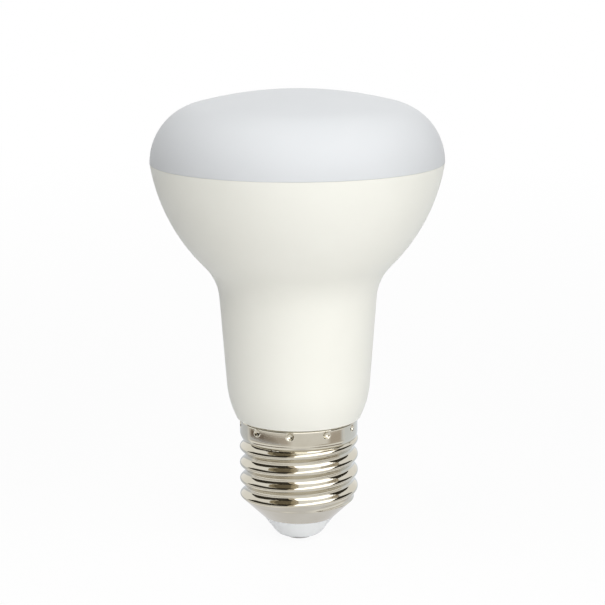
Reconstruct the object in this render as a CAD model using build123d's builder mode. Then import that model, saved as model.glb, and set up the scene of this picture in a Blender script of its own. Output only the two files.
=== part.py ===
from build123d import *
from math import asin, cos, radians, sin, sqrt, tan
import os

os.makedirs("parts", exist_ok=True)

# A reflector lamp with an E27 screw cap, in millimetres. The tip of the centre contact is the
# origin, +Z runs along the lamp's axis to the crown of the diffuser, and -Y is the front.
# Turned pieces are drawn as half sections in the XZ plane, with X as the radius.

# Diffuser, a shallow opal dome of two tangent arcs
rim_diameter = 63.0
crown_radius = 85.0
shoulder_radius = 12.8
plug_depth = 3.0
plug_clearance = 0.1

# Housing, a moulded body that flares from the neck to the rim
housing_length = 56.1
rim_wall = 2.0
bowl_radius = 39.9
bowl_flare_angle = 8.6
waist_radius = 11.5
neck_diameter = 31.4
neck_angle = 4.04
foot_height = 7.6
foot_overhang = 0.67
spigot_length = 14.0
spigot_clearance = 0.1
edge_bevel = 0.2

# Screw shell, rolled from sheet with a right-hand thread
shell_length = 22.18
sheet = 0.3
crest_diameter = 26.06
thread_pitch = 3.629
thread_depth = 1.1
crest_width = 1.5
crest_rise = 0.2
root_width = 0.5
thread_start_angle = 85.0
cone_angle = 46.0
lip_diameter = 16.4
lip_hole_diameter = 13.0
collar_inset = 0.1
collar_length = 4.9
collar_bevel = 0.8
seat_gap = 0.15

# Crimps that lock the collar on the housing's spigot
crimp_count = 10
crimp_start_angle = 9.8
crimp_drop = 1.2
crimp_diameter = 1.7
crimp_floor_diameter = 0.8
crimp_depth = 0.5

# Insulator, a bush that grips the lip of the shell
insulator_height = 4.47
insulator_angle = 36.8
insulator_round = 2.0
insulator_inset = 0.1
flange_height = 2.0
insulator_clearance = 0.1

# Centre contact, a rivet through the insulator
contact_diameter = 5.9
contact_proud = 0.68
pin_diameter = 1.8
pin_proud = 0.2
pin_clearance = 0.05

# How far a cutting form reaches past the piece that it cuts
cut_reach = 1.0

# Heights of the pieces above the contact's tip
shell_bottom = contact_proud + insulator_height
shell_top = shell_bottom + shell_length
collar_bottom = shell_top - collar_length
crimp_height = shell_top - crimp_drop
housing_bottom = shell_top + seat_gap
housing_top = housing_bottom + housing_length

# Radii and slopes that several pieces share
rim_radius = rim_diameter / 2
seat_radius = rim_radius - rim_wall
crest_radius = crest_diameter / 2
root_radius = crest_radius - thread_depth
collar_radius = crest_radius - collar_inset
lip_radius = lip_diameter / 2
lip_hole_radius = lip_hole_diameter / 2
cone_slope = tan(radians(cone_angle))


def corner(sketch, radius, height):
    """The corner of a half section that lies nearest to a radius and a height."""
    return sketch.vertices().sort_by_distance((radius, height))[0]


def cone_radius(height, inset):
    """Radius of the shell's cone at a height, a given thickness in from its outer face."""
    return lip_radius + (height - shell_bottom) * cone_slope - inset / cos(radians(cone_angle))


# Diffuser: the crown's arc is centred on the axis and runs tangentially into the shoulder's arc
shoulder_centre = rim_radius - shoulder_radius
dome_height = crown_radius - sqrt((crown_radius - shoulder_radius) ** 2 - shoulder_centre**2)
dome_top = housing_top + dome_height
join_angle = asin(shoulder_centre / (crown_radius - shoulder_radius))
dome_join = (crown_radius * sin(join_angle), dome_top - crown_radius * (1 - cos(join_angle)))
plug_radius = seat_radius - plug_clearance
with BuildPart() as diffuser:
    with BuildSketch(Plane.XZ) as dome:
        with BuildLine():
            Polyline((0, dome_top), (0, housing_top - plug_depth), (plug_radius, housing_top - plug_depth),
                     (plug_radius, housing_top), (rim_radius, housing_top))
            TangentArc((rim_radius, housing_top), dome_join, tangent=(0, 1))
            RadiusArc(dome_join, (0, dome_top), -crown_radius)
        make_face()
        chamfer(corner(dome, rim_radius, housing_top), edge_bevel)
    revolve(axis=Axis.Z)
diffuser.part.label = "diffuser"
export_step(diffuser.part, "parts/diffuser.step")

# Housing: a foot arc, a tapered neck, a waist fillet and the bowl's arc up to the rim
neck_slope = radians(neck_angle)
neck_direction = Vector(sin(neck_slope), cos(neck_slope))
neck_foot = Vector(neck_diameter / 2, housing_bottom + foot_height)
foot_radius = collar_radius + foot_overhang
bowl_flare = radians(bowl_flare_angle)
bowl_centre = Vector(rim_radius - bowl_radius * cos(bowl_flare), housing_top + bowl_radius * sin(bowl_flare))
neck_from_bowl = neck_foot - bowl_centre
approach = neck_from_bowl.dot(neck_direction)
neck_length = -approach - sqrt(approach**2 - neck_from_bowl.length**2 + bowl_radius**2)
waist = neck_foot + neck_direction * neck_length
seat_bottom = housing_top - plug_depth - plug_clearance
spigot_radius = root_radius - sheet - spigot_clearance
spigot_bottom = shell_top - spigot_length
land_radius = collar_radius - sheet - spigot_clearance
land_bottom = collar_bottom + collar_bevel + sheet
groove_radius = land_radius - crimp_depth
groove_width = crimp_diameter + 2 * (sheet + spigot_clearance)
with BuildPart() as housing:
    with BuildSketch(Plane.XZ) as body:
        with BuildLine():
            TangentArc(neck_foot, (foot_radius, housing_bottom), tangent=-neck_direction)
            Line(neck_foot, waist)
            RadiusArc(waist, (rim_radius, housing_top), -bowl_radius)
            Polyline((rim_radius, housing_top), (seat_radius, housing_top), (seat_radius, seat_bottom),
                     (0, seat_bottom), (0, spigot_bottom), (spigot_radius, spigot_bottom),
                     (spigot_radius, land_bottom), (land_radius, land_bottom),
                     (land_radius, housing_bottom), (foot_radius, housing_bottom))
        make_face()
        fillet(corner(body, waist.X, waist.Y), waist_radius)
        chamfer(corner(body, rim_radius, housing_top), edge_bevel)
        chamfer(corner(body, foot_radius, housing_bottom), edge_bevel)
    revolve(axis=Axis.Z)
    with BuildSketch(Plane.XZ):
        with Locations((groove_radius, crimp_height)):
            Rectangle(crimp_depth + cut_reach, groove_width, align=(Align.MIN, Align.CENTER))
    revolve(axis=Axis.Z, mode=Mode.SUBTRACT)
housing.part.label = "housing"
export_step(housing.part, "parts/housing.step")

# Screw shell: the rolled form of its outer face, less the same form a sheet's thickness in
ridge_half = (thread_pitch - root_width) / 2
flank = (ridge_half - crest_width / 2) / (thread_depth - crest_rise)
flank_shift = sqrt(1 + flank**2) - flank
sunk_half = ridge_half + root_width / 4
ridge_sink = (sunk_half - ridge_half) / flank
ridge_bottom = shell_bottom - thread_pitch
ridge_top = collar_bottom + collar_bevel + ridge_half
crimp_slope = (crimp_diameter - crimp_floor_diameter) / 2 / crimp_depth
crimp_shift = sqrt(1 + crimp_slope**2) - crimp_slope


def thread_ridge(inset):
    """The thread's ridge on a right-hand helix: round on the outer face, flat-topped inside the sheet."""
    shoulder = crest_radius - crest_rise - inset
    crest_half = crest_width / 2 - inset * flank_shift
    foot = root_radius - ridge_sink - inset
    foot_half = sunk_half - inset * flank_shift
    with BuildPart() as ridge:
        with BuildLine() as climb:
            Helix(thread_pitch, ridge_top - ridge_bottom, root_radius, center=(0, 0, ridge_bottom))
        with BuildSketch(Plane.XZ):
            with BuildLine():
                Polyline((shoulder, ridge_bottom + crest_half), (foot, ridge_bottom + foot_half),
                         (foot, ridge_bottom - foot_half), (shoulder, ridge_bottom - crest_half))
                if inset == 0:
                    ThreePointArc((shoulder, ridge_bottom - crest_half), (crest_radius, ridge_bottom),
                                  (shoulder, ridge_bottom + crest_half))
                else:
                    Line((shoulder, ridge_bottom - crest_half), (shoulder, ridge_bottom + crest_half))
            make_face()
        sweep(path=climb.line, is_frenet=True)
    return ridge.part.rotate(Axis.Z, thread_start_angle)


def crimp_punches(inset):
    """Eight-sided tapered punches that point in at the collar, grown all round by the inset."""
    length = crimp_depth + inset + cut_reach
    floor = crimp_floor_diameter + 2 * inset * crimp_shift
    side = crimp_slope * length
    mouth = floor + 2 * side
    with BuildPart() as punch:
        Wedge(mouth, length, mouth, side, side, side + floor, side + floor, rotation=(0, 0, 90))
        Wedge(mouth, length, mouth, side, side, side + floor, side + floor, rotation=(45, 0, 90),
              mode=Mode.INTERSECT)
    with BuildPart() as punches:
        with Locations((0, 0, crimp_height)):
            with PolarLocations(collar_radius + cut_reach - length / 2, crimp_count, crimp_start_angle):
                add(punch.part)
    return punches.part


def rolled_form(inset, top):
    """The shell's form a thickness in from its outer face: cone, thread and crimped collar."""
    bottom = shell_bottom + inset
    core_radius = root_radius - inset
    band_radius = collar_radius - inset
    band_bottom = collar_bottom + inset
    clear_radius = crest_radius + cut_reach
    cone_top = bottom + (clear_radius - cone_radius(bottom, inset)) / cone_slope
    ridge = thread_ridge(inset)
    punches = crimp_punches(inset)
    with BuildPart() as form:
        with BuildSketch(Plane.XZ):
            Polygon((0, bottom), (core_radius, bottom), (core_radius, top), (0, top), align=None)
        revolve(axis=Axis.Z)
        add(ridge)
        with BuildSketch(Plane.XZ):
            Polygon((0, bottom), (cone_radius(bottom, inset), bottom), (clear_radius, cone_top),
                    (clear_radius, band_bottom), (band_radius, band_bottom), (band_radius, top),
                    (0, top), align=None)
        revolve(axis=Axis.Z, mode=Mode.INTERSECT)
        with BuildSketch(Plane.XZ) as band:
            Polygon((0, band_bottom), (band_radius, band_bottom), (band_radius, top), (0, top), align=None)
            chamfer(corner(band, band_radius, band_bottom), collar_bevel - inset * (2 - sqrt(2)))
        revolve(axis=Axis.Z)
        add(punches, mode=Mode.SUBTRACT)
    return form.part


outer_form = rolled_form(0, shell_top)
inner_form = rolled_form(sheet, shell_top + cut_reach)
with BuildPart() as screw_shell:
    add(outer_form)
    add(inner_form, mode=Mode.SUBTRACT)
    with BuildSketch(Plane.XY.offset(shell_bottom)):
        Circle(lip_hole_radius)
    extrude(amount=sheet + cut_reach, mode=Mode.SUBTRACT)
screw_shell.part.label = "screw_shell"
export_step(screw_shell.part, "parts/screw_shell.step")

# Insulator: a rounded bush below the lip, a groove that takes the lip and a flange inside the cone
insulator_rim = lip_radius - insulator_inset
insulator_foot = insulator_rim - insulator_height * tan(radians(insulator_angle))
grip_radius = lip_hole_radius - insulator_clearance
flange_bottom = shell_bottom + sheet + insulator_clearance
flange_top = flange_bottom + flange_height
flange_inset = sheet + insulator_clearance
pin_hole_radius = pin_diameter / 2 + pin_clearance
with BuildPart() as insulator:
    with BuildSketch(Plane.XZ) as bush:
        Polygon((pin_hole_radius, contact_proud), (insulator_foot, contact_proud),
                (insulator_rim, shell_bottom), (grip_radius, shell_bottom), (grip_radius, flange_bottom),
                (cone_radius(flange_bottom, flange_inset), flange_bottom),
                (cone_radius(flange_top, flange_inset), flange_top), (pin_hole_radius, flange_top), align=None)
        fillet(corner(bush, insulator_foot, contact_proud), insulator_round)
    revolve(axis=Axis.Z)
insulator.part.label = "insulator"
export_step(insulator.part, "parts/insulator.step")

# Centre contact: a flat head below the insulator and a pin through it
contact_radius = contact_diameter / 2
pin_top = flange_top + pin_proud
with BuildPart() as centre_contact:
    with BuildSketch(Plane.XZ) as rivet:
        Polygon((0, 0), (contact_radius, 0), (contact_radius, contact_proud), (pin_diameter / 2, contact_proud),
                (pin_diameter / 2, pin_top), (0, pin_top), align=None)
        chamfer(corner(rivet, contact_radius, 0), edge_bevel)
    revolve(axis=Axis.Z)
centre_contact.part.label = "centre_contact"
export_step(centre_contact.part, "parts/centre_contact.step")
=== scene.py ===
from math import acos, asin, cos, pi, radians, sin, sqrt, tan

import bmesh
import bpy
import numpy as np
from mathutils import Matrix, Vector


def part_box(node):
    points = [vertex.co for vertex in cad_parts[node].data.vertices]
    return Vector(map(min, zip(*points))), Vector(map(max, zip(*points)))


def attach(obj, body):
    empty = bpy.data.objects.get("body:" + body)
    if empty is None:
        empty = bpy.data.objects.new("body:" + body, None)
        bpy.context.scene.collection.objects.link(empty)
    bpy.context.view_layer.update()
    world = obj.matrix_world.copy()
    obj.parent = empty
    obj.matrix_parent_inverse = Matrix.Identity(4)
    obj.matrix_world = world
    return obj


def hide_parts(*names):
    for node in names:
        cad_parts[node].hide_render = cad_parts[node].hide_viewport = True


# A reflector lamp in metres. It stands on its centre contact, +Z runs up its axis, -Y is the front.
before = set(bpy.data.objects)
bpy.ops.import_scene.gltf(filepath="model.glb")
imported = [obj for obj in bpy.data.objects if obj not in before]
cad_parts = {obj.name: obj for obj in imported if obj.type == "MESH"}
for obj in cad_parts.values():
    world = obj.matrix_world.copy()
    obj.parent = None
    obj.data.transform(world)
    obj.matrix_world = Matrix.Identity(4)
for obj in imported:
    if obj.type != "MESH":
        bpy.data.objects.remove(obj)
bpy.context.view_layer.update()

# Sizes that the boxes of the CAD parts in model.glb give
diffuser_low, diffuser_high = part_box("diffuser")
housing_low, housing_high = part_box("housing")
shell_low, shell_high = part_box("screw_shell")
insulator_low, insulator_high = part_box("insulator")
contact_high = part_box("centre_contact")[1]
dome_top = diffuser_high.z
plug_bottom = diffuser_low.z
seam_height = housing_high.z
spigot_bottom = housing_low.z
shell_bottom = shell_low.z
shell_top = shell_high.z
contact_top = insulator_low.z
flange_top = insulator_high.z
pin_top = contact_high.z
rim_radius = diffuser_high.x
flange_radius = insulator_high.x
contact_radius = contact_high.x

# Forms of the diffuser
crown_radius = 0.0850
shoulder_radius = 0.0128
rim_wall = 0.0020
seam_gap = 0.00002
seam_round = 0.00010

# Forms of the housing
bowl_radius = 0.0399
bowl_flare = radians(8.6)
waist_radius = 0.0115
neck_radius = 0.0157
neck_slope = radians(4.04)
foot_height = 0.0076
foot_overhang = 0.00067
seat_gap = 0.00015
foot_round = 0.00035
spigot_radius = 0.0115

# Forms of the screw shell
sheet = 0.0003
crest_radius = 0.01303
thread_pitch = 0.003629
thread_depth = 0.0011
flank_slope = radians(45.0)
crest_height = 0.00792
crest_round = 0.00068
thread_blend = 0.00025
thread_sink = 0.0005
cone_blend = 0.00012
collar_inset = 0.0001
collar_radius = crest_radius - collar_inset
collar_length = 0.0049
collar_drop = 0.0018
collar_turn = 0.0013
top_round = 0.0005
cone_slope = tan(radians(46.0))
lip_radius = 0.0082
lip_hole_radius = 0.0065
crimp_count = 10
crimp_start = radians(9.8)
crimp_drop = 0.0012
crimp_radius = 0.0008
crimp_depth = 0.00055
crimp_blend = 0.0001

# Forms of the insulator and of the centre contact
insulator_radius = 0.0081
insulator_slope = tan(radians(36.8))
insulator_round = 0.0020
grip_radius = 0.0064
flange_gap = 0.0001
contact_round = 0.00025
pin_radius = 0.0009

# Fineness of the meshes
turn_steps = 224
shell_steps = 480
arc_step = radians(2.5)
least_arc_steps = 4
run_step = 0.0008
least_run = 1e-8
shell_row = 0.000125
weld_reach = 1e-7
sharp_angle = radians(35)


def unit(vector):
    """The vector at length 1."""
    return vector / np.linalg.norm(vector)


def arc(centre, start, end):
    """Points on the circle round a centre, from one point to another the short way."""
    centre, start, end = (np.asarray(point, float) for point in (centre, start, end))
    first = np.arctan2(start[1] - centre[1], start[0] - centre[0])
    turn = np.arctan2(end[1] - centre[1], end[0] - centre[0]) - first
    turn = (turn + pi) % (2 * pi) - pi
    steps = max(least_arc_steps, int(abs(turn) / arc_step))
    angles = first + turn * np.linspace(0, 1, steps + 1)
    return centre + np.linalg.norm(start - centre) * np.column_stack((np.cos(angles), np.sin(angles)))


def fillet(before, corner, after, radius):
    """The arc that rounds a corner between two straight runs."""
    before, corner, after = (np.asarray(point, float) for point in (before, corner, after))
    back, on = unit(before - corner), unit(after - corner)
    half = acos(back @ on) / 2
    reach = radius / tan(half)
    centre = corner + unit(back + on) * radius / sin(half)
    return arc(centre, corner + back * reach, corner + on * reach)


def half_section(*runs):
    """One outline through points and arcs, with its long runs divided so that it shades evenly."""
    corners = np.vstack([np.atleast_2d(run) for run in runs])
    outline = [corners[0]]
    for corner in corners[1:]:
        length = np.linalg.norm(corner - outline[-1])
        if length > least_run:
            parts = int(np.ceil(length / run_step))
            start = outline[-1]
            outline += [start + (corner - start) * part / parts for part in range(1, parts + 1)]
    return np.array(outline)


def ring_piece(name, rings, joined):
    """A piece whose surface runs through rings of points; joined closes the last ring on the first."""
    rows, columns = rings.shape[:2]
    index = np.arange(rows * columns).reshape(rows, columns)
    low = index if joined else index[:-1]
    high = np.roll(index, -1, axis=0) if joined else index[1:]
    quads = np.stack((low, np.roll(low, -1, axis=1), np.roll(high, -1, axis=1), high), axis=-1)
    mesh = bpy.data.meshes.new(name)
    mesh.from_pydata(rings.reshape(-1, 3).tolist(), [], quads.reshape(-1, 4).tolist())
    shape = bmesh.new()
    shape.from_mesh(mesh)
    bmesh.ops.remove_doubles(shape, verts=shape.verts, dist=weld_reach)
    shape.to_mesh(mesh)
    shape.free()
    mesh.shade_smooth()
    mesh.set_sharp_from_angle(angle=sharp_angle)
    piece = bpy.data.objects.new(name, mesh)
    bpy.context.scene.collection.objects.link(piece)
    return piece


def turned_piece(name, outline):
    """A turned piece from its half section, which runs from the axis below to the axis above."""
    angles = np.linspace(0, 2 * pi, turn_steps, endpoint=False)
    radii, heights = outline[:, :1], outline[:, 1:]
    rings = np.stack((radii * np.cos(angles), radii * np.sin(angles), heights + 0 * angles), axis=-1)
    return ring_piece(name, rings, joined=False)


def dress(piece, node, material):
    """The piece stands for a CAD node, rides on the lamp's body and takes a material."""
    piece.data.materials.append(material)
    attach(piece, "root")
    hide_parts(node)


# Materials: the part of a noise's range over which a colour or a value changes
noise_low = 0.3
noise_high = 0.7


def new_material(name):
    """A material and its Principled shader."""
    material = bpy.data.materials.new(name)
    material.use_nodes = True
    return material, material.node_tree.nodes["Principled BSDF"]


def add_noise(tree, scale, detail, stretch=(1, 1, 1)):
    """Noise over the object's own coordinates, in cycles a metre, stretched by axis."""
    place = tree.nodes.new("ShaderNodeTexCoord")
    mapping = tree.nodes.new("ShaderNodeMapping")
    mapping.inputs["Scale"].default_value = stretch
    noise = tree.nodes.new("ShaderNodeTexNoise")
    noise.inputs["Scale"].default_value = scale
    noise.inputs["Detail"].default_value = detail
    tree.links.new(place.outputs["Object"], mapping.inputs["Vector"])
    tree.links.new(mapping.outputs["Vector"], noise.inputs["Vector"])
    return noise.outputs["Fac"]


def add_colours(tree, factor, low, high):
    """A colour that goes from low to high over the middle of a noise."""
    ramp = tree.nodes.new("ShaderNodeValToRGB")
    ramp.color_ramp.elements[0].position = noise_low
    ramp.color_ramp.elements[0].color = (*low, 1)
    ramp.color_ramp.elements[1].position = noise_high
    ramp.color_ramp.elements[1].color = (*high, 1)
    tree.links.new(factor, ramp.inputs["Fac"])
    return ramp.outputs["Color"]


def add_range(tree, factor, low, high):
    """A value that goes from low to high over the middle of a noise."""
    span = tree.nodes.new("ShaderNodeMapRange")
    span.inputs["From Min"].default_value = noise_low
    span.inputs["From Max"].default_value = noise_high
    span.inputs["To Min"].default_value = low
    span.inputs["To Max"].default_value = high
    tree.links.new(factor, span.inputs["Value"])
    return span.outputs["Result"]


def add_bump(tree, height, strength, distance, under=None):
    """A bump that is this many metres high, laid over another bump where one is given."""
    bump = tree.nodes.new("ShaderNodeBump")
    bump.inputs["Strength"].default_value = strength
    bump.inputs["Distance"].default_value = distance
    tree.links.new(height, bump.inputs["Height"])
    if under is not None:
        tree.links.new(under, bump.inputs["Normal"])
    return bump.outputs["Normal"]


def opal_material():
    """Opal plastic, faintly clouded, with a fine satin grain."""
    material, shader = new_material("opal_diffuser")
    tree = material.node_tree
    cloud = add_noise(tree, scale=60, detail=3)
    grain = add_noise(tree, scale=5200, detail=2)
    colour = add_colours(tree, cloud, low=(0.675, 0.692, 0.707), high=(0.692, 0.708, 0.722))
    tree.links.new(colour, shader.inputs["Base Color"])
    tree.links.new(add_range(tree, grain, low=0.46, high=0.56), shader.inputs["Roughness"])
    surface = add_bump(tree, grain, strength=0.12, distance=0.00004)
    tree.links.new(surface, shader.inputs["Normal"])
    shader.inputs["Specular IOR Level"].default_value = 0.15
    return material


def housing_material():
    """Moulded ivory plastic, satin, with faint flow marks round the body and a fine grain."""
    material, shader = new_material("housing_plastic")
    tree = material.node_tree
    cloud = add_noise(tree, scale=45, detail=4)
    flow = add_noise(tree, scale=30, detail=5, stretch=(1, 1, 30))
    grain = add_noise(tree, scale=3800, detail=2)
    colour = add_colours(tree, cloud, low=(0.872, 0.868, 0.796), high=(0.894, 0.890, 0.822))
    tree.links.new(colour, shader.inputs["Base Color"])
    tree.links.new(add_range(tree, flow, low=0.40, high=0.50), shader.inputs["Roughness"])
    marks = add_bump(tree, flow, strength=0.10, distance=0.00006)
    surface = add_bump(tree, grain, strength=0.08, distance=0.00004, under=marks)
    tree.links.new(surface, shader.inputs["Normal"])
    shader.inputs["Specular IOR Level"].default_value = 0.35
    return material


def nickel_material():
    """Bright nickel on rolled sheet: fine rolling lines round the shell and a patchy polish."""
    material, shader = new_material("nickel_shell")
    tree = material.node_tree
    patches = add_noise(tree, scale=220, detail=4)
    lines = add_noise(tree, scale=160, detail=4, stretch=(1, 1, 45))
    colour = add_colours(tree, patches, low=(0.610, 0.572, 0.478), high=(0.658, 0.625, 0.535))
    tree.links.new(colour, shader.inputs["Base Color"])
    tree.links.new(add_range(tree, patches, low=0.04, high=0.08), shader.inputs["Roughness"])
    surface = add_bump(tree, lines, strength=0.03, distance=0.00003)
    tree.links.new(surface, shader.inputs["Normal"])
    shader.inputs["Metallic"].default_value = 1.0
    return material


def insulator_material():
    """Glossy white plastic, a little translucent, with a shallow moulded ripple."""
    material, shader = new_material("insulator_plastic")
    tree = material.node_tree
    cloud = add_noise(tree, scale=160, detail=3)
    ripple = add_noise(tree, scale=700, detail=2)
    colour = add_colours(tree, cloud, low=(0.905, 0.928, 0.936), high=(0.930, 0.950, 0.958))
    tree.links.new(colour, shader.inputs["Base Color"])
    tree.links.new(add_range(tree, cloud, low=0.14, high=0.24), shader.inputs["Roughness"])
    surface = add_bump(tree, ripple, strength=0.05, distance=0.00006)
    tree.links.new(surface, shader.inputs["Normal"])
    shader.inputs["Subsurface Weight"].default_value = 0.15
    shader.inputs["Subsurface Radius"].default_value = (1.0, 1.0, 1.0)
    shader.inputs["Subsurface Scale"].default_value = 0.003
    return material


def contact_material():
    """Tinned metal, dulled, with small pits."""
    material, shader = new_material("contact_metal")
    tree = material.node_tree
    patches = add_noise(tree, scale=900, detail=4)
    pits = add_noise(tree, scale=4200, detail=3)
    colour = add_colours(tree, patches, low=(0.230, 0.225, 0.215), high=(0.310, 0.300, 0.285))
    tree.links.new(colour, shader.inputs["Base Color"])
    tree.links.new(add_range(tree, patches, low=0.28, high=0.42), shader.inputs["Roughness"])
    surface = add_bump(tree, pits, strength=0.2, distance=0.00005)
    tree.links.new(surface, shader.inputs["Normal"])
    shader.inputs["Metallic"].default_value = 1.0
    return material


# Pieces


def make_diffuser():
    """The dome: the crown's arc runs tangentially into the shoulder's arc, and a plug sits in the rim."""
    base = seam_height + seam_gap
    plug_radius = rim_radius - rim_wall
    shoulder = (rim_radius - shoulder_radius, base)
    crown = (0, dome_top - crown_radius)
    tilt = asin(shoulder[0] / (crown_radius - shoulder_radius))
    join = (crown_radius * sin(tilt), crown[1] + crown_radius * cos(tilt))
    edge = fillet((plug_radius, base), (rim_radius, base), (rim_radius, base + shoulder_radius), seam_round)
    outline = half_section(
        (0, plug_bottom), (plug_radius, plug_bottom), (plug_radius, base), edge,
        arc(shoulder, (rim_radius, base + seam_round), join), arc(crown, join, (0, dome_top)))
    return turned_piece("opal_dome", outline)


def make_housing():
    """The moulded body: foot arc, tapered neck, waist fillet and bowl arc, with the spigot below."""
    bottom = shell_top + seat_gap
    along = np.array((sin(neck_slope), cos(neck_slope)))
    outward = np.array((along[1], -along[0]))
    neck_foot = np.array((neck_radius, bottom + foot_height))
    foot = np.array((collar_radius + foot_overhang, bottom))
    foot_chord = foot - neck_foot
    foot_centre = neck_foot + outward * (foot_chord @ foot_chord) / (2 * foot_chord @ outward)
    rim = np.array((rim_radius, seam_height))
    bowl = rim + bowl_radius * np.array((-cos(bowl_flare), sin(bowl_flare)))
    beside = neck_foot + outward * waist_radius - bowl
    reach = sqrt((beside @ along) ** 2 - beside @ beside + (bowl_radius + waist_radius) ** 2)
    waist_foot = neck_foot - along * (beside @ along + reach)
    waist = waist_foot + outward * waist_radius
    waist_top = bowl + unit(waist - bowl) * bowl_radius
    seat_radius = rim_radius - rim_wall
    foot_start = foot + unit(neck_foot - foot) * foot_round
    rim_end = rim + unit(np.array((-sin(bowl_flare), -cos(bowl_flare)))) * seam_round
    outline = half_section(
        (0, spigot_bottom), (spigot_radius, spigot_bottom), (spigot_radius, bottom),
        fillet((spigot_radius, bottom), foot, neck_foot, foot_round),
        arc(foot_centre, foot_start, neck_foot), arc(waist, waist_foot, waist_top),
        arc(bowl, waist_top, rim_end), fillet(rim_end, rim, (seat_radius, seam_height), seam_round / 2),
        (seat_radius, seam_height), (seat_radius, plug_bottom), (0, plug_bottom))
    return turned_piece("housing_body", outline)


def soft_least(first, second, blend):
    """The lesser of two radii, with a rounded change from one to the other."""
    share = np.clip(0.5 + (second - first) / (2 * blend), 0, 1)
    return second + (first - second) * share - blend * share * (1 - share)


def soft_most(first, second, blend):
    """The greater of two radii, with a rounded change from one to the other."""
    return -soft_least(-first, -second, blend)


def thread_radius(angles, heights):
    """The rolled right-hand thread: round crests and wider round roots, with straight flanks between."""
    half_pitch = thread_pitch / 2
    both_rounds = (half_pitch * tan(flank_slope) - thread_depth) / (1 / cos(flank_slope) - 1)
    root_round = both_rounds - crest_round
    crest_reach = crest_round * sin(flank_slope)
    root_reach = root_round * sin(flank_slope)
    turns = (heights - crest_height) / thread_pitch - angles / (2 * pi)
    from_crest = np.abs(turns - np.round(turns)) * thread_pitch
    from_root = half_pitch - from_crest
    crest_drop = crest_round - np.sqrt(crest_round**2 - np.minimum(from_crest, crest_reach) ** 2)
    root_rise = root_round - np.sqrt(root_round**2 - np.minimum(from_root, root_reach) ** 2)
    flank = crest_radius - crest_drop - np.maximum(from_crest - crest_reach, 0) * tan(flank_slope)
    return np.where(from_root < root_reach, crest_radius - thread_depth + root_rise, flank)


def collar_profile(heights):
    """The collar's radius by height: a rounded lower edge, a straight side and a turned-in top edge."""
    turn_height = shell_top - collar_length + collar_drop
    below = np.clip((turn_height - heights) / collar_drop, 0, 1)
    above = np.clip((heights - shell_top + top_round) / top_round, 0, 1)
    radius = collar_radius - collar_turn * (1 - np.sqrt(1 - below**2))
    return radius - top_round * (1 - np.sqrt(1 - above**2))


def crimp_dents(angles, heights):
    """How deep the crimps press the collar in."""
    spacing = 2 * pi / crimp_count
    aside = (angles - crimp_start + spacing / 2) % spacing - spacing / 2
    away = np.hypot(aside * collar_radius, heights - shell_top + crimp_drop)
    punch_radius = (crimp_radius**2 + crimp_depth**2) / (2 * crimp_depth)
    sunk = crimp_depth - punch_radius + np.sqrt(punch_radius**2 - np.minimum(away, crimp_radius) ** 2)
    return soft_most(sunk, crimp_radius - np.maximum(away, crimp_radius), crimp_blend)


def make_shell():
    """The rolled shell: cone, thread and crimped collar outside, and a plain wall inside."""
    angles = np.linspace(0, 2 * pi, shell_steps, endpoint=False)
    rows = int((shell_top - shell_bottom) / shell_row)
    heights = np.linspace(shell_bottom, shell_top, rows + 1)[:, None] + 0 * angles
    angles = angles + 0 * heights
    cone = lip_radius + (heights - shell_bottom) * cone_slope
    collar_bottom = shell_top - collar_length
    rise = np.clip((heights - collar_bottom) / collar_drop, 0, 1)
    thread = thread_radius(angles, heights) - thread_sink * rise * rise * (3 - 2 * rise)
    collar = np.where(heights < collar_bottom, 0, collar_profile(heights))
    radii = soft_most(soft_least(thread, cone, cone_blend), collar, thread_blend)
    radii = np.where(heights > collar_bottom + collar_drop, collar, radii)
    radii = radii - crimp_dents(angles, heights)
    inner_radius = crest_radius - thread_depth - sheet
    cone_top = shell_bottom + (inner_radius - lip_radius) / cone_slope + sheet
    inside = ((inner_radius, shell_top), (inner_radius, cone_top), (lip_radius, shell_bottom + sheet),
              (lip_hole_radius, shell_bottom + sheet), (lip_hole_radius, shell_bottom))
    for radius, height in inside:
        radii = np.vstack((radii, np.full((1, shell_steps), radius)))
        heights = np.vstack((heights, np.full((1, shell_steps), height)))
    angles = angles[:1] + 0 * heights
    rings = np.stack((radii * np.cos(angles), radii * np.sin(angles), heights), axis=-1)
    return ring_piece("rolled_screw_shell", rings, joined=True)


def make_insulator():
    """The bush: a rounded foot, a tapered side, a groove round the shell's lip and a flange."""
    foot_radius = insulator_radius - (shell_bottom - contact_top) * insulator_slope
    foot, rim = (foot_radius, contact_top), (insulator_radius, shell_bottom)
    flange_bottom = shell_bottom + sheet + flange_gap
    flange_low = flange_radius - (flange_top - flange_bottom) * cone_slope
    outline = half_section(
        (0, contact_top), fillet((0, contact_top), foot, rim, insulator_round), rim,
        (grip_radius, shell_bottom), (grip_radius, flange_bottom), (flange_low, flange_bottom),
        (flange_radius, flange_top), (0, flange_top))
    return turned_piece("insulator_bush", outline)


def make_contact():
    """The rivet: a flat head with a rounded edge under the insulator, and a pin through it."""
    outline = half_section(
        (0, 0), fillet((0, 0), (contact_radius, 0), (contact_radius, contact_top), contact_round),
        (contact_radius, contact_top), (pin_radius, contact_top), (pin_radius, pin_top), (0, pin_top))
    return turned_piece("contact_rivet", outline)


dress(make_diffuser(), "diffuser", opal_material())
dress(make_housing(), "housing", housing_material())
dress(make_shell(), "screw_shell", nickel_material())
dress(make_insulator(), "insulator", insulator_material())
dress(make_contact(), "centre_contact", contact_material())

# Stage: the floor is whiter near the lamp, and glows fully white to the camera away from it
floor_half = 3.0
floor_colour = (0.76, 0.76, 0.76)
near_colour = (0.86, 0.86, 0.86)
near_reach = 0.12
near_core = 0.5
floor_glow = 0.93
glow_reach = 0.70

# Stage: light
world_fill = 0.38
key_power = 4.0
fill_power = 1.4
top_power = 2.3
back_power = 27.0
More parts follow.
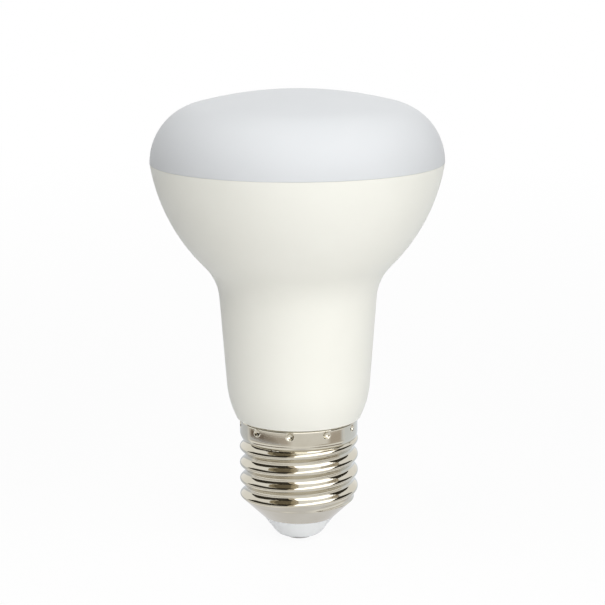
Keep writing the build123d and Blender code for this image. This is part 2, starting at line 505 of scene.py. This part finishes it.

# Stage: colours of the cards round the lamp, and the colours that the papers on the floor glow in, which
# paint the reflections in the metal
dark_cloth = (0.055, 0.048, 0.037)
olive_cloth = (0.240, 0.205, 0.140)
brown_cloth = (0.50, 0.43, 0.30)
tan_cloth = (0.62, 0.55, 0.44)
# The papers glow in these colours whatever light falls on them: painted reflections for the metal
brown_glow = (0.175, 0.136, 0.105)
tan_glow = (0.54, 0.49, 0.44)
grey_glow = (0.66, 0.69, 0.74)
silver_glow = (0.77, 0.77, 0.80)
cool_glow = (0.81, 0.86, 0.93)
pale_glow = (0.87, 0.86, 0.85)
white_glow = (1.0, 1.0, 1.0)

# Stage: rings of the floor, from the lamp's axis, that the parts of the cap mirror
under_ring = (0.001, 0.033)
foot_ring = (0.017, 0.033)
valley_ring = (0.034, 0.042)
side_ring = (0.034, 0.60)
front_ring = (0.062, 0.112)
crest_ring = (0.068, 0.0855)
collar_edge_ring = (0.0855, 0.0930)
collar_left_ring = (0.0930, 0.1012)
collar_right_ring = (0.0868, 0.1030)
paper_lift = 0.0003
upper_lift = 2 * paper_lift
paper_steps = 48


def seen_directly(tree):
    """1 for camera, glossy and transmission rays, so that metal shows the same white as the camera."""
    path = tree.nodes.new("ShaderNodeLightPath")
    either = tree.nodes.new("ShaderNodeMath")
    either.operation = "MAXIMUM"
    every = tree.nodes.new("ShaderNodeMath")
    every.operation = "MAXIMUM"
    tree.links.new(path.outputs["Is Camera Ray"], either.inputs[0])
    tree.links.new(path.outputs["Is Glossy Ray"], either.inputs[1])
    tree.links.new(either.outputs[0], every.inputs[0])
    tree.links.new(path.outputs["Is Transmission Ray"], every.inputs[1])
    return every.outputs[0]


def make_world():
    """Even light all round, which the camera and the metal see as white."""
    world = bpy.data.worlds.new("studio")
    world.use_nodes = True
    tree = world.node_tree
    fill = tree.nodes["Background"]
    fill.inputs["Color"].default_value = (1, 1, 1, 1)
    fill.inputs["Strength"].default_value = world_fill
    white = tree.nodes.new("ShaderNodeBackground")
    white.inputs["Color"].default_value = (1, 1, 1, 1)
    white.inputs["Strength"].default_value = 1.0
    mix = tree.nodes.new("ShaderNodeMixShader")
    tree.links.new(seen_directly(tree), mix.inputs["Fac"])
    tree.links.new(fill.outputs["Background"], mix.inputs[1])
    tree.links.new(white.outputs["Background"], mix.inputs[2])
    tree.links.new(mix.outputs["Shader"], tree.nodes["World Output"].inputs["Surface"])
    bpy.context.scene.world = world


def stage_mesh(name, points, faces):
    """A piece of the stage from its points and faces."""
    mesh = bpy.data.meshes.new(name)
    mesh.from_pydata(points, [], faces)
    piece = bpy.data.objects.new(name, mesh)
    bpy.context.scene.collection.objects.link(piece)
    return piece


def plane(name, width, height):
    """A flat sheet of the stage, level at the origin."""
    x, y = width / 2, height / 2
    return stage_mesh(name, [(-x, -y, 0), (x, -y, 0), (x, y, 0), (-x, y, 0)], [(0, 1, 2, 3)])


def bare_material(name):
    """A material with only its output, and its node tree."""
    material = bpy.data.materials.new(name)
    material.use_nodes = True
    tree = material.node_tree
    tree.nodes.remove(tree.nodes["Principled BSDF"])
    return material, tree


def nearness(tree, reach):
    """1 at the foot of the lamp, falling to 0 at this distance from it."""
    place = tree.nodes.new("ShaderNodeTexCoord")
    mapping = tree.nodes.new("ShaderNodeMapping")
    mapping.inputs["Scale"].default_value = (1 / reach,) * 3
    gradient = tree.nodes.new("ShaderNodeTexGradient")
    gradient.gradient_type = "SPHERICAL"
    tree.links.new(place.outputs["Object"], mapping.inputs["Vector"])
    tree.links.new(mapping.outputs["Vector"], gradient.inputs["Vector"])
    return gradient.outputs["Fac"]


def make_floor():
    """Pale paper, whiter under the lamp, that shows as white and keeps the lamp's shadow."""
    floor = plane("floor", 2 * floor_half, 2 * floor_half)
    material, tree = bare_material("floor_paper")
    tones = tree.nodes.new("ShaderNodeValToRGB")
    tones.color_ramp.elements[0].color = (*floor_colour, 1)
    tones.color_ramp.elements[1].color = (*near_colour, 1)
    tones.color_ramp.elements[1].position = near_core
    tree.links.new(nearness(tree, near_reach), tones.inputs["Fac"])
    paper = tree.nodes.new("ShaderNodeBsdfDiffuse")
    tree.links.new(tones.outputs["Color"], paper.inputs["Color"])
    glow = tree.nodes.new("ShaderNodeEmission")
    glow.inputs["Color"].default_value = (1, 1, 1, 1)
    glow.inputs["Strength"].default_value = 1.0
    fade = tree.nodes.new("ShaderNodeMapRange")
    fade.interpolation_type = "SMOOTHSTEP"
    fade.inputs["To Min"].default_value = 1.0
    fade.inputs["To Max"].default_value = floor_glow
    share = tree.nodes.new("ShaderNodeMath")
    share.operation = "MULTIPLY"
    mix = tree.nodes.new("ShaderNodeMixShader")
    tree.links.new(nearness(tree, glow_reach), fade.inputs["Value"])
    tree.links.new(seen_directly(tree), share.inputs[0])
    tree.links.new(fade.outputs["Result"], share.inputs[1])
    tree.links.new(share.outputs[0], mix.inputs["Fac"])
    tree.links.new(paper.outputs["BSDF"], mix.inputs[1])
    tree.links.new(glow.outputs["Emission"], mix.inputs[2])
    tree.links.new(mix.outputs["Shader"], tree.nodes["Material Output"].inputs["Surface"])
    floor.data.materials.append(material)


def direction(azimuth, elevation):
    """A direction from the lamp, azimuth counted from the front to the right, in degrees."""
    turn, rise = radians(azimuth), radians(elevation)
    return Vector((sin(turn) * cos(rise), -cos(turn) * cos(rise), sin(rise)))


def aim(thing, azimuth, elevation, distance, target):
    """Puts a thing round the lamp, facing the target."""
    away = direction(azimuth, elevation)
    thing.location = target + away * distance
    thing.rotation_mode = "QUATERNION"
    thing.rotation_quaternion = away.to_track_quat("Z", "Y")


def card_material(name, shade):
    """Matt cloth of one colour."""
    material, shader = new_material(name)
    shader.inputs["Base Color"].default_value = (*shade, 1)
    shader.inputs["Roughness"].default_value = 1.0
    shader.inputs["Specular IOR Level"].default_value = 0.0
    return material


def only_mirrored(card):
    """The card shows in the metal alone: it takes no light from the rest of the lamp."""
    card.visible_camera = False
    card.visible_diffuse = False
    card.visible_shadow = False


def make_shade(name, azimuth, elevation, distance, width, height):
    """A dark card beside the lamp that takes light away, unseen by the camera and in the metal."""
    card = plane(name, width, height)
    card.data.materials.append(card_material(name, dark_cloth))
    card.visible_camera = False
    card.visible_glossy = False
    aim(card, azimuth, elevation, distance, cap_middle)


def make_mirrored_card(name, distance, shade, *corners):
    """A card seen only in the metal, whose corners are azimuths and elevations as seen from the cap."""
    places = [cap_middle + distance * direction(azimuth, elevation) for azimuth, elevation in corners]
    card = stage_mesh(name, places, [tuple(range(len(places)))])
    card.data.materials.append(card_material(name, shade))
    only_mirrored(card)


def make_glowing_paper(name, ring, lift, *stops):
    """A sector of a ring on the floor, seen only in the metal, that glows in colours graded by azimuth
    through its stops: a painted reflection, the same whatever light falls on it.
    """
    start, end = stops[0][0], stops[-1][0]
    middle = (start + end) / 2
    row = paper_steps + 1
    turns = np.radians(np.linspace(start, end, row) - middle)
    rim = np.column_stack((np.cos(turns), np.sin(turns), 0 * turns))
    near, far = ring
    strips = [(step, step + row, step + row + 1, step + 1) for step in range(paper_steps)]
    paper = stage_mesh(name, np.vstack((near * rim, far * rim)).tolist(), strips)
    paper.location.z = lift
    paper.rotation_euler.z = radians(middle - 90)
    material, tree = bare_material(name)
    # The paper glows in its colour and takes no light: a painted reflection for the metal
    glow = tree.nodes.new("ShaderNodeEmission")
    place = tree.nodes.new("ShaderNodeTexCoord")
    sweep = tree.nodes.new("ShaderNodeTexGradient")
    sweep.gradient_type = "RADIAL"
    ramp = tree.nodes.new("ShaderNodeValToRGB")
    elements = ramp.color_ramp.elements
    elements.remove(elements[1])
    elements[0].color = (*stops[0][1], 1)
    for azimuth, shade in stops:
        elements.new(0.5 + (azimuth - middle) / 360).color = (*shade, 1)
    tree.links.new(place.outputs["Object"], sweep.inputs["Vector"])
    tree.links.new(sweep.outputs["Fac"], ramp.inputs["Fac"])
    tree.links.new(ramp.outputs["Color"], glow.inputs["Color"])
    tree.links.new(glow.outputs["Emission"], tree.nodes["Material Output"].inputs["Surface"])
    paper.data.materials.append(material)
    only_mirrored(paper)


def make_softbox(name, azimuth, elevation, distance, width, height, power, mirrored=False):
    """A soft lamp that faces the middle of the bulb, seen in the metal only where mirrored."""
    light = bpy.data.lights.new(name, "AREA")
    light.shape = "RECTANGLE"
    light.size = width
    light.size_y = height
    light.energy = power
    softbox = bpy.data.objects.new(name, light)
    bpy.context.scene.collection.objects.link(softbox)
    softbox.visible_glossy = mirrored
    aim(softbox, azimuth, elevation, distance, bulb_middle)


bulb_middle = Vector((0, 0, dome_top / 2))
cap_middle = Vector((0, 0, shell_top / 2))
make_world()
make_floor()

# Lamps and shades by azimuth, elevation, distance, width and height, in degrees and metres
make_softbox("key_softbox", 30, 40, 0.75, 1.20, 0.70, key_power, mirrored=True)
make_softbox("fill_softbox", 24, 9, 0.90, 0.60, 0.60, fill_power)
make_softbox("top_softbox", -55, 64, 0.90, 0.60, 0.60, top_power)
make_softbox("back_softbox", 180, 11, 2.60, 1.20, 0.60, back_power)
make_shade("shade_left", -95, 9, 0.17, 0.40, 0.08)
make_shade("shade_right", 100, 9, 0.17, 0.22, 0.08)

# Cards that the thread's flanks mirror, by distance and the azimuth and elevation of each corner
make_mirrored_card("dark_card_left", 0.75, dark_cloth, (-66, 5), (-66, 70), (-24, 70), (-24, 5))
make_mirrored_card("brown_card_middle", 0.80, tan_cloth, (-30, 5), (-30, 72), (-12, 72), (-12, 5))
make_mirrored_card(
    "dark_card_far_left", 0.76, dark_cloth, (-118, 4), (-117, 33), (-97, 45), (-60, 50), (-60, 4))
make_mirrored_card(
    "dark_card_right", 0.75, dark_cloth, (58, 4), (72, 32), (102, 46), (120, 26), (122, 4))
make_mirrored_card("tan_card_right", 0.70, tan_cloth, (66, 63), (97, 45.5), (107, 45), (104, 55), (70, 70))
make_mirrored_card(
    "olive_card_overhead", 0.65, olive_cloth,
    (-163, 67.7), (-150.8, 59.6), (-86, 56), (-68, 55.6), (-32.7, 63.5))
make_mirrored_card(
    "brown_card_overhead", 0.70, brown_cloth,
    (-178, 68.5), (-140, 56.4), (-97, 51), (-71.6, 50.9), (-21.7, 65.7))

# Glowing papers on the floor whose painted reflections the collar, the thread and the cone show, by azimuth
# and glow colour
make_glowing_paper("pale_card_front", front_ring, paper_lift, (-106, pale_glow), (90, pale_glow))
make_glowing_paper(
    "grey_card_left", side_ring, paper_lift, (-180, grey_glow), (-114, grey_glow), (-106, pale_glow))
make_glowing_paper(
    "grey_card_right", side_ring, paper_lift, (90, pale_glow), (97, cool_glow), (180, cool_glow))
make_glowing_paper("grey_card_under", under_ring, paper_lift, (-180, silver_glow), (180, silver_glow))
make_glowing_paper(
    "brown_card_left_floor", collar_left_ring, upper_lift,
    (-108, grey_glow), (-103, tan_glow), (-99, brown_glow), (-70, brown_glow), (-22, tan_glow),
    (-10, pale_glow))
make_glowing_paper(
    "grey_card_left_floor", collar_edge_ring, upper_lift,
    (-106, grey_glow), (-40, grey_glow), (-15, pale_glow))
make_glowing_paper(
    "tan_card_left_far", crest_ring, upper_lift,
    (-104, grey_glow), (-94, tan_glow), (-26, tan_glow), (-10, pale_glow))
make_glowing_paper(
    "brown_card_left_near", valley_ring, upper_lift,
    (-104, grey_glow), (-94, brown_glow), (-26, brown_glow), (-10, pale_glow))
make_glowing_paper(
    "white_card_left", foot_ring, upper_lift,
    (-104, silver_glow), (-90, white_glow), (-20, white_glow), (0, silver_glow))
make_glowing_paper(
    "tan_card_right_far", crest_ring, upper_lift,
    (24, pale_glow), (44, tan_glow), (86, tan_glow), (94, cool_glow))
make_glowing_paper(
    "brown_card_right_near", valley_ring, upper_lift,
    (20, pale_glow), (40, brown_glow), (88, brown_glow), (96, cool_glow))
make_glowing_paper(
    "white_card_right", foot_ring, upper_lift,
    (10, silver_glow), (30, white_glow), (88, white_glow), (100, silver_glow))
make_glowing_paper(
    "brown_card_right_floor", collar_right_ring, upper_lift,
    (52, pale_glow), (62, tan_glow), (83, tan_glow), (92, cool_glow))

# Camera at the photograph's viewing angle
camera_place = (0.00096, -0.400, 0.13733)
camera_pitch = radians(90 - 11.938)
camera_roll = radians(-0.27)
camera_lens = 112.09
camera_sensor = 36.0
camera_data = bpy.data.cameras.new("camera")
camera_data.lens = camera_lens
camera_data.sensor_width = camera_sensor
camera = bpy.data.objects.new("camera", camera_data)
camera.location = camera_place
turned = Matrix.Rotation(camera_pitch, 3, "X") @ Matrix.Rotation(camera_roll, 3, "Z")
camera.rotation_euler = turned.to_euler()
bpy.context.scene.collection.objects.link(camera)
bpy.context.scene.camera = camera

bpy.context.scene.view_settings.view_transform = "Standard"
